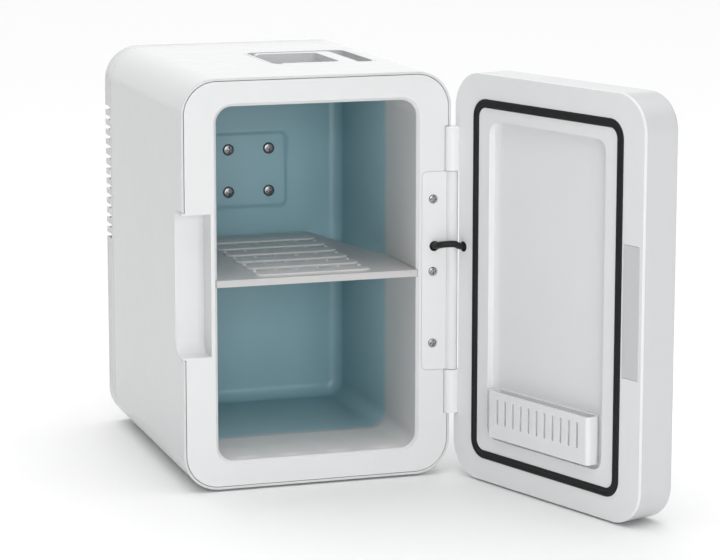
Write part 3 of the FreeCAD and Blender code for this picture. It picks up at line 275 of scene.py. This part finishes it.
# ---- the hinge, read from the frame, and the gap in front of the cabinet when the door is shut

doorJoint = next(joint for joint in frame["joints"] if joint["name"] == "door_hinge")
hingeX, hingeY = doorJoint["pos_m"][:2]
openAngle = math.radians(-doorJoint["range_deg"][0])
mm = 0.001
doorGap = 1.2


def openDoor(points):
    # points of the shut door turned about the hinge to where the open door holds them
    turned = np.array(points, float)
    x, y = turned[..., 0] - hingeX, turned[..., 1] - hingeY
    result = turned.copy()
    result[..., 0] = hingeX + x * math.cos(openAngle) - y * math.sin(openAngle)
    result[..., 1] = hingeY + x * math.sin(openAngle) + y * math.cos(openAngle)
    return result


def newPiece(name, mesh, finish, smoothAngle=32):
    mesh.materials.clear()
    mesh.materials.append(finishes[finish])
    mesh.polygons.foreach_set("use_smooth", [True] * len(mesh.polygons))
    mesh.set_sharp_from_angle(angle=math.radians(smoothAngle))
    piece = bpy.data.objects.new(name, mesh)
    bpy.context.scene.collection.objects.link(piece)
    return piece


def gridPiece(name, points, finish, closeAcross=True, closeAlong=False, capped=False):
    # a surface from a grid of points: rows run along it, columns run around it
    rows, columns = points.shape[:2]
    number = np.arange(rows * columns).reshape(rows, columns)
    here = number if closeAlong else number[:-1]
    beyond = np.roll(number, -1, 0) if closeAlong else number[1:]
    faces = np.stack([here, np.roll(here, -1, 1), np.roll(beyond, -1, 1), beyond], -1)
    if not closeAcross:
        faces = faces[:, :-1]
    faces = faces.reshape(-1, 4).tolist()
    if capped:
        faces.append(number[0][::-1].tolist())
        faces.append(number[-1].tolist())
    mesh = bpy.data.meshes.new(name)
    mesh.from_pydata(points.reshape(-1, 3).tolist(), [], faces)
    shape = bmesh.new()
    shape.from_mesh(mesh)
    bmesh.ops.recalc_face_normals(shape, faces=shape.faces)
    rim = [edge.index for edge in shape.edges if edge.is_boundary]
    shape.to_mesh(mesh)
    shape.free()
    piece = newPiece(name, mesh, finish)
    for edgeNumber in rim:
        mesh.edges[edgeNumber].use_edge_sharp = True
    return piece


rounding = {"merge": 2e-6, "flatAngle": 0.3, "cornerAngle": 38, "segments": 3, "normalWeight": 80}


def softCopy(node, name, look):
    # a node's own shape with its doubles merged and its edges rounded over
    source = frame["nodes"][node]
    mesh = source.data.copy()
    if "custom_normal" in mesh.attributes:
        mesh.attributes.remove(mesh.attributes["custom_normal"])
    shape = bmesh.new()
    shape.from_mesh(mesh)
    bmesh.ops.remove_doubles(shape, verts=shape.verts, dist=rounding["merge"])
    if look["edge"]:
        bmesh.ops.dissolve_limit(shape, angle_limit=math.radians(rounding["flatAngle"]),
                                 verts=shape.verts, edges=shape.edges)
    shape.to_mesh(mesh)
    shape.free()
    piece = newPiece(name, mesh, look["finish"])
    if look["edge"]:
        soften = piece.modifiers.new("roundedEdge", "BEVEL")
        soften.width = look["edge"] * mm
        soften.segments = look.get("segments", rounding["segments"])
        soften.limit_method = "ANGLE"
        soften.angle_limit = math.radians(rounding["cornerAngle"])
        soften.harden_normals = False
        soften.miter_outer = "MITER_ARC"
    even = piece.modifiers.new("evenNormals", "WEIGHTED_NORMAL")
    even.keep_sharp = False
    even.weight = rounding["normalWeight"]
    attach(piece, look["body"])
    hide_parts(node)
    return piece


# ---- pieces that keep the CAD shape and get rounded edges: edge in millimetres

softened = {
    "outer_shell": ("outerShell", {"finish": "white", "edge": 0.7, "body": "cabinet"}),
    "front_frame": ("frontFrame", {"finish": "front", "edge": 0.5, "body": "cabinet"}),
    "rear_cover": ("rearCover", {"finish": "white", "edge": 0, "body": "cabinet"}),
    "throat_collar": ("throatCollar", {"finish": "collar", "edge": 0.3, "body": "cabinet"}),
    "shelf": ("shelfTray", {"finish": "shelf", "edge": 0.5, "body": "cabinet"}),
    "handle_cup": ("handleCup", {"finish": "white", "edge": 0.95, "body": "cabinet"}),
    "hinge_plate": ("hingePlate", {"finish": "plate", "edge": 0.3, "body": "cabinet"}),
    "carry_handle": ("carryHandle", {"finish": "white", "edge": 1.2, "body": "handle"}),
    "mode_rocker": ("modeRocker", {"finish": "black", "edge": 0.4, "body": "rocker"}),
    "fan_rotor": ("fanRotor", {"finish": "black", "edge": 0.2, "body": "fan", "segments": 2}),
    "door_shell": ("doorShell", {"finish": "door", "edge": 0.4, "body": "door"}),
    "door_inner_panel": ("doorInnerPanel", {"finish": "doorLining", "edge": 1.0, "body": "door"}),
    "pull_cover": ("pullCover", {"finish": "door", "edge": 0.25, "body": "door"}),
    "door_bin": ("doorBin", {"finish": "doorLining", "edge": 0.75, "body": "door"}),
    "touch_button": ("touchButton", {"finish": "button", "edge": 0.5, "body": "door"}),
    "light_ring": ("lightRing", {"finish": "diffuser", "edge": 0.3, "body": "door"}),
    "door_mirror": ("doorMirror", {"finish": "mirror", "edge": 0.4, "body": "door"}),
}
for node, (name, look) in softened.items():
    softCopy(node, name, look)
print("rounded pieces:", len(softened))


def roundedPath(width, height, radius, steps, inset, straight=0):
    # corner arcs joined by straight sides; inset moves each point inwards along its normal
    corners = np.array([(1, 1), (-1, 1), (-1, -1), (1, -1)], float)
    middles = corners * (np.array([width, height]) / 2 - radius)
    angles = np.arange(4)[:, None] * math.pi / 2 + np.linspace(0, math.pi / 2, steps)[None, :]
    normals = np.stack([np.cos(angles), np.sin(angles)], -1)
    arcs = middles[:, None, :] + normals * (radius - inset)
    if not straight:
        return arcs.reshape(-1, 2)
    share = np.linspace(0, 1, straight + 2)[1:-1, None]
    sides = [arc[-1] * (1 - share) + after[0] * share for arc, after in zip(arcs, np.roll(arcs, -1, 0))]
    return np.vstack([part for pair in zip(arcs, sides) for part in pair])


# ---- the liner: a deep tub with rounded back corners, a raised pad and drawn sheet walls

linerLook = {
    "wall": 1.6, "side": 1.0, "cornerRadius": 11.5, "backRadius": 9.0, "leastRadius": 0.5,
    "padWidth": 58.0, "padHeight": 55.0, "padCentre": 196.5, "padCorner": 5, "padRise": 1.2, "padEdge": 2.6,
    "rowsDeep": 26, "turnSteps": 12, "closingRings": 120, "middleShare": 0.004,
    "perCorner": 10, "perSide": 44}


def buildLiner(look):
    # rings run back along the walls, round a quarter circle, then close in over the flat back
    low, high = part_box("inner_liner")
    width = (high.x - low.x) / mm - 2 * look["wall"]
    height = (high.z - low.z) / mm - 2 * look["wall"]
    middle = (high.z + low.z) / 2 / mm
    front, back = low.y / mm, high.y / mm - look["wall"]
    radius = look["backRadius"]
    turn = np.linspace(0, math.pi / 2, look["turnSteps"])[1:]
    straight = np.linspace(front, back - radius, look["rowsDeep"])
    depths = np.concatenate([straight, back - radius + radius * np.sin(turn)])
    insets = np.concatenate([np.zeros(look["rowsDeep"]), radius - radius * np.cos(turn)])
    rings = []
    for depth, inset in zip(depths, insets):
        corner = max(look["cornerRadius"], inset + look["leastRadius"])
        path = roundedPath(width, height, corner, look["perCorner"], inset, look["perSide"])
        rings.append(np.column_stack([path[:, 0], np.full(len(path), depth), path[:, 1] + middle]))
    last = rings[-1]
    centre = np.array([0, back, middle])
    for share in np.linspace(0, 1, look["closingRings"])[1:-1]:
        rings.append(last + (centre - last) * share)
    rings.append(np.repeat(centre[None, :], len(last), 0) + (last - centre) * look["middleShare"])
    grid = np.array(rings)
    # the pad rises by a smooth step of the distance inside its rounded rectangle
    flat = grid[len(depths) - 1:]
    padCorner = look["padCorner"]
    reachX = np.abs(flat[..., 0]) - (look["padWidth"] / 2 - padCorner)
    reachZ = np.abs(flat[..., 2] - look["padCentre"]) - (look["padHeight"] / 2 - padCorner)
    aroundCorner = np.hypot(np.maximum(reachX, 0), np.maximum(reachZ, 0))
    outside = aroundCorner + np.minimum(np.maximum(reachX, reachZ), 0) - padCorner
    step = np.clip(0.5 - outside / look["padEdge"], 0, 1)
    flat[..., 1] -= look["padRise"] * step * step * (3 - 2 * step)
    piece = gridPiece("innerLiner", grid * mm, "liner")
    walls = piece.modifiers.new("wall", "SOLIDIFY")
    walls.thickness = look["wall"] * mm
    walls.offset = look["side"]
    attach(piece, "cabinet")
    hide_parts("inner_liner")


# ---- the gasket: a bellows profile carried round the door's rounded rectangle

gasketLook = {"width": 153.3, "height": 252.6, "band": 6.0, "radius": 12.9, "sunk": 1.1, "proud": 0.8,
              "centreHeight": 143.6, "stepsPerCorner": 14, "pinch": 0.45, "pinchWidth": 0.12,
              "shoulder": 3.2, "acrossPoints": 17}


def buildGasket(look):
    # across the band the height is two rounded lips with a pinch between them
    across = np.linspace(0, 1, look["acrossPoints"])
    lips = look["proud"] * (1 - look["pinch"] * np.exp(-((across - 0.5) / look["pinchWidth"]) ** 2))
    lips *= np.clip(np.sin(across * math.pi) * look["shoulder"], 0, 1) ** 0.5
    inset = np.concatenate([across * look["band"], [look["band"], 0]])
    height = np.concatenate([lips, [-look["sunk"], -look["sunk"]]])
    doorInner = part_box("front_frame")[0].y / mm - doorGap
    rings = []
    for inward, rise in zip(inset, height):
        path = roundedPath(look["width"], look["height"], look["radius"], look["stepsPerCorner"], inward)
        depth = np.full(len(path), doorInner + rise)
        rings.append(np.column_stack([path[:, 0], depth, path[:, 1] + look["centreHeight"]]))
    grid = openDoor(np.array(rings).transpose(1, 0, 2) * mm)
    piece = gridPiece("doorGasket", grid, "seal", closeAcross=True, closeAlong=True)
    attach(piece, "door")
    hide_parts("door_gasket")


buildLiner(linerLook)
buildGasket(gasketLook)
print("liner and gasket made")

# ---- the cable that crosses the hinge: its points are given in millimetres

cableLook = {"radius": 2.35, "cabinetHole": (84.7, 164.3), "doorHole": (87.2, 164.3), "rise": 2.6,
             "tail": 6.5, "stub": 3.5, "stubRise": 0.8, "bendAside": 3.2, "bendOut": 9.8, "lead": 8.0,
             "doorStub": 2.5, "doorStubRise": 0.6, "sides": 20, "steps": 14}


def smoothRoute(points, steps):
    # a Catmull-Rom curve through the points: each span is a cubic set by its four nearest points
    padded = np.vstack([2 * points[0] - points[1], points, 2 * points[-1] - points[-2]])
    t = np.linspace(0, 1, steps, endpoint=False)[:, None]
    spans = []
    for a, b, c, d in zip(padded, padded[1:], padded[2:], padded[3:]):
        spans.append(0.5 * (2 * b + (c - a) * t + (2 * a - 5 * b + 4 * c - d) * t ** 2
                            + (3 * b - 3 * c + d - a) * t ** 3))
    return np.vstack(spans + [points[-1:]])


def tubeAround(route, radius, sides):
    # a circle carried along the route, square to it, without twist about the upright
    ahead = np.gradient(route, axis=0)
    ahead /= np.linalg.norm(ahead, axis=1, keepdims=True)
    side = np.cross(ahead, [0, 0, 1.0])
    side /= np.linalg.norm(side, axis=1, keepdims=True)
    over = np.cross(side, ahead)
    turn = np.linspace(0, 2 * math.pi, sides, endpoint=False)
    return (route[:, None, :] + radius * (np.cos(turn)[None, :, None] * side[:, None, :]
                                          + np.sin(turn)[None, :, None] * over[:, None, :]))


def buildCable(look):
    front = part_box("front_frame")[0].y / mm
    x, z = look["cabinetHole"]
    doorX, doorZ = look["doorHole"]
    doorInner = front - doorGap
    doorPoints = openDoor(np.array([
        (doorX, doorInner + look["lead"], doorZ + look["rise"]),
        (doorX, doorInner + look["doorStub"], doorZ + look["doorStubRise"]),
        (doorX, doorInner - look["tail"], doorZ)]) * mm) / mm
    cabinetPoints = [
        (x, front + look["tail"], z),
        (x, front - look["stub"], z + look["stubRise"]),
        (x + look["bendAside"], front - look["bendOut"], z + look["rise"])]
    points = np.vstack([cabinetPoints, doorPoints])
    tube = tubeAround(smoothRoute(points * mm, look["steps"]), look["radius"] * mm, look["sides"])
    piece = gridPiece("hingeCable", tube, "sheath", capped=True)
    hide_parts("hinge_cable")
    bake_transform(piece)


buildCable(cableLook)
print("hinge cable made")

# ---- screws with crossed recesses

screwGrid = {"rings": 34, "sides": 72, "wallWidth": 0.12, "crownFall": 0.22, "rimFall": 0.5, "rimPower": 12,
             "leastRise": 0.05}
screwHeads = {
    "cold_block_screws": {
        "name": "coldBlockScrews", "head": 4.3, "dome": 1.9, "cross": 2.7, "slot": 0.7, "deep": 1.6,
        "shank": 1.7, "finish": "darkSteel", "body": "cabinet",
        "at": [(-15.6, 180.5), (15.6, 180.5), (-15.6, 212.5), (15.6, 212.5)]},
    "hinge_screws": {
        "name": "hingeScrews", "head": 3.0, "dome": 0.9, "cross": 2.1, "slot": 0.52, "deep": 0.85,
        "shank": 1.4, "finish": "greySteel", "body": "cabinet",
        "at": [(83.8, 95.3), (83.8, 146.4), (83.8, 197.5)]},
}


def buildScrews(node, look):
    # a flat dome that falls away at its rim, cut by two crossed trenches whose walls are steep ramps
    low, high = (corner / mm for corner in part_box(node))
    share = np.linspace(0.0, 1.0, screwGrid["rings"])[:, None]
    turn = np.linspace(0, 2 * math.pi, screwGrid["sides"], endpoint=False)[None, :]
    x, z = share * look["head"] * np.cos(turn), share * look["head"] * np.sin(turn)
    fall = screwGrid["crownFall"] * share ** 2 + screwGrid["rimFall"] * share ** screwGrid["rimPower"]
    crown = look["dome"] * (1 - fall) + 0 * turn
    narrow, long = np.minimum(np.abs(x), np.abs(z)), np.maximum(np.abs(x), np.abs(z))
    within = np.clip((look["slot"] - narrow) / screwGrid["wallWidth"] + 0.5, 0, 1)
    cut = within * np.clip((look["cross"] - long) / screwGrid["wallWidth"] + 0.5, 0, 1)
    top = np.maximum(crown - cut * look["deep"], screwGrid["leastRise"])
    face = low.y + look["dome"]
    profile = [(look["head"], 0.0), (look["shank"], 0.0), (look["shank"], high.y - face)]
    for index, (middleX, middleZ) in enumerate(look["at"]):
        rings = [np.stack([x + middleX, face - top, z + middleZ], -1)]
        for radius, back in profile:
            ring = np.stack([middleX + radius * np.cos(turn[0]), np.full(turn.shape[1], face + back),
                             middleZ + radius * np.sin(turn[0])], -1)
            rings.append(ring[None])
        grid = np.concatenate(rings, 0)
        piece = gridPiece(f"{look['name']}{index + 1}", grid * mm, look["finish"], capped=True)
        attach(piece, look["body"])
        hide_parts(node)


for node, look in screwHeads.items():
    buildScrews(node, look)
print("screws made")

# ---- low ribs moulded in the floor of the mouth, and rows of dimples on the shelf

floorLook = {"count": 4, "pitch": 33.0, "width": 25.0, "rise": 0.8, "start": 6.0, "end": 40.0,
             "collarWall": 1.8, "sunk": 0.05, "thickness": 0.2, "across": 25, "along": 33,
             "crownPower": 1.2, "endSlope": 7, "endPower": 0.6}


def buildFloorRibs(look):
    # each rib is a cosine crown across, and both its ends rise steeply from the floor
    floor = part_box("throat_collar")[0].z + look["collarWall"] * mm
    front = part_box("front_frame")[0].y
    u = np.linspace(-1, 1, look["across"])[None, :]
    v = np.linspace(0, 1, look["along"])[:, None]
    ends = np.clip(np.minimum(v, 1 - v) * look["endSlope"], 0, 1) ** look["endPower"]
    crown = np.cos(u * math.pi / 2) ** look["crownPower"] * ends
    for index in range(look["count"]):
        middle = (index - (look["count"] - 1) / 2) * look["pitch"] * mm
        x = middle + u * look["width"] / 2 * mm + v * 0
        y = front + (look["start"] + v * (look["end"] - look["start"])) * mm + u * 0
        z = floor - look["sunk"] * mm + crown * look["rise"] * mm
        rib = gridPiece(f"floorRib{index + 1}", np.stack([x, y, z], -1), "collar", closeAcross=False)
        thicken = rib.modifiers.new("body", "SOLIDIFY")
        thicken.thickness = look["thickness"] * mm
        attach(rib, "cabinet")


dimpleLook = {"columns": 6, "rows": 5, "spacing": 15.2, "between": 26.5, "first": 27.25, "radius": 1.9,
              "rise": 1.4, "top": 148.2, "sunk": 0.05, "sides": 12, "rings": (1.0, 0.7, 0.35),
              "smoothAngle": 60}


def buildDimples(look):
    # each dimple is a low cap whose height falls with the square of the reach; all of them are one mesh
    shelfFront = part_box("shelf")[0].y
    base = (look["top"] - look["sunk"]) * mm
    count = look["sides"]
    turn = np.linspace(0, 2 * math.pi, count, endpoint=False)
    vertices, faces = [], []
    for row in range(look["rows"]):
        for column in range(look["columns"]):
            x = (column - (look["columns"] - 1) / 2) * look["spacing"] * mm
            y = shelfFront + (look["first"] + row * look["between"]) * mm
            start = len(vertices)
            for reach in look["rings"]:
                radius = reach * look["radius"] * mm
                height = base + look["rise"] * mm * (1 - reach ** 2)
                for angle in turn:
                    vertices.append((x + radius * math.cos(angle), y + radius * math.sin(angle), height))
            last = len(vertices) - count
            for first in range(start, last, count):
                for k in range(count):
                    a, b = first + k, first + (k + 1) % count
                    faces.append((a, b, b + count, a + count))
            faces.append(list(range(last, last + count)))
            faces.append(list(range(start, start + count))[::-1])
    mesh = bpy.data.meshes.new("shelfDimples")
    mesh.from_pydata(vertices, [], faces)
    piece = newPiece("shelfDimples", mesh, "front", look["smoothAngle"])
    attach(piece, "cabinet")


buildFloorRibs(floorLook)
buildDimples(dimpleLook)
print("ribs and dimples made")

# ---- finishes on the nodes that keep their CAD mesh

carried = {
    "cabinet_insulation": "foam", "door_insulation": "foam", "cold_block": "aluminium",
    "heat_sink": "aluminium", "rear_cover_screws": "zinc", "hinge_pin": "zinc", "strike_plates": "zinc",
    "catch_magnets": "zinc", "peltier_module": "ceramic", "fan_frame": "black", "ac_inlet": "black",
    "dc_inlet": "black", "switch_housing": "black", "control_board": "board", "light_board": "board",
    "feet": "rubber", "cabinet_grommet": "rubber", "door_grommet": "rubber",
}
for node, finish in carried.items():
    for slot in frame["nodes"][node].material_slots:
        slot.material = finishes[finish]
print("carried nodes finished:", len(carried))

# ---- studio: pale floor, soft light, camera

studio = {"floor": (0.93, 0.93, 0.93), "floorReach": 6, "sky": (1.0, 1.0, 1.0), "lowSky": 0.12,
          "cameraPlace": (-0.5511, -1.9324, 0.5010), "cameraYaw": -0.3074, "cameraPitch": -0.1737,
          "lens": 139.96, "shift": (0.0089, -0.0455)}
floorMesh = bpy.data.meshes.new("studioFloor")
corners = [(-1, -1), (1, -1), (1, 1), (-1, 1)]
floorMesh.from_pydata([(x * studio["floorReach"], y * studio["floorReach"], 0) for x, y in corners],
                      [], [(0, 1, 2, 3)])
floor = bpy.data.objects.new("studioFloor", floorMesh)
bpy.context.scene.collection.objects.link(floor)
floorBoard = Board("paleFloor", Roughness=0.7, Base_Color=(*studio["floor"], 1))
floorMesh.materials.append(floorBoard.material)

lamps = {
    "keyLight": {"place": (-0.35, -4.0, 0.45), "size": 2.4, "power": 96},
    "topLight": {"place": (0.2, 0.2, 2.0), "size": 1.8, "power": 3},
}
target = Vector((0.05, 0, 0.14))
for name, look in lamps.items():
    lamp = bpy.data.lights.new(name, "AREA")
    lamp.size = look["size"]
    lamp.energy = look["power"]
    holder = bpy.data.objects.new(name, lamp)
    holder.location = look["place"]
    holder.rotation_euler = (target - holder.location).to_track_quat("-Z", "Y").to_euler()
    bpy.context.scene.collection.objects.link(holder)

# the sky brightens upwards and towards the back, by the brighter of two bands
skyBands = [
    {"axis": "Z", "start": 0.5, "end": 0.88, "bright": 1.7},
    {"axis": "Y", "start": 0.5, "end": 0.85, "bright": 1.25},
]
world = bpy.data.worlds.new("studioSky")
bpy.context.scene.world = world
world.use_nodes = True
sky = world.node_tree
direction = sky.nodes.new("ShaderNodeSeparateXYZ")
sky.links.new(sky.nodes.new("ShaderNodeTexCoord").outputs["Generated"], direction.inputs[0])
brighter = sky.nodes.new("ShaderNodeMath")
brighter.operation = "MAXIMUM"
for index, look in enumerate(skyBands):
    band = sky.nodes.new("ShaderNodeMapRange")
    for socket, value in (("From Min", look["start"]), ("From Max", look["end"]),
                          ("To Min", studio["lowSky"]), ("To Max", look["bright"])):
        band.inputs[socket].default_value = value
    sky.links.new(direction.outputs[look["axis"]], band.inputs["Value"])
    sky.links.new(band.outputs[0], brighter.inputs[index])
sky.links.new(brighter.outputs[0], sky.nodes["Background"].inputs["Strength"])
sky.nodes["Background"].inputs["Color"].default_value = (*studio["sky"], 1)
bpy.context.scene.view_settings.view_transform = "Standard"

lens = bpy.data.cameras.new("camera")
lens.lens = studio["lens"]
lens.sensor_width = 36
lens.shift_x, lens.shift_y = studio["shift"]
camera = bpy.data.objects.new("camera", lens)
camera.location = studio["cameraPlace"]
camera.rotation_euler = (math.pi / 2 + studio["cameraPitch"], 0, studio["cameraYaw"])
bpy.context.scene.collection.objects.link(camera)
bpy.context.scene.camera = camera
print("studio set")
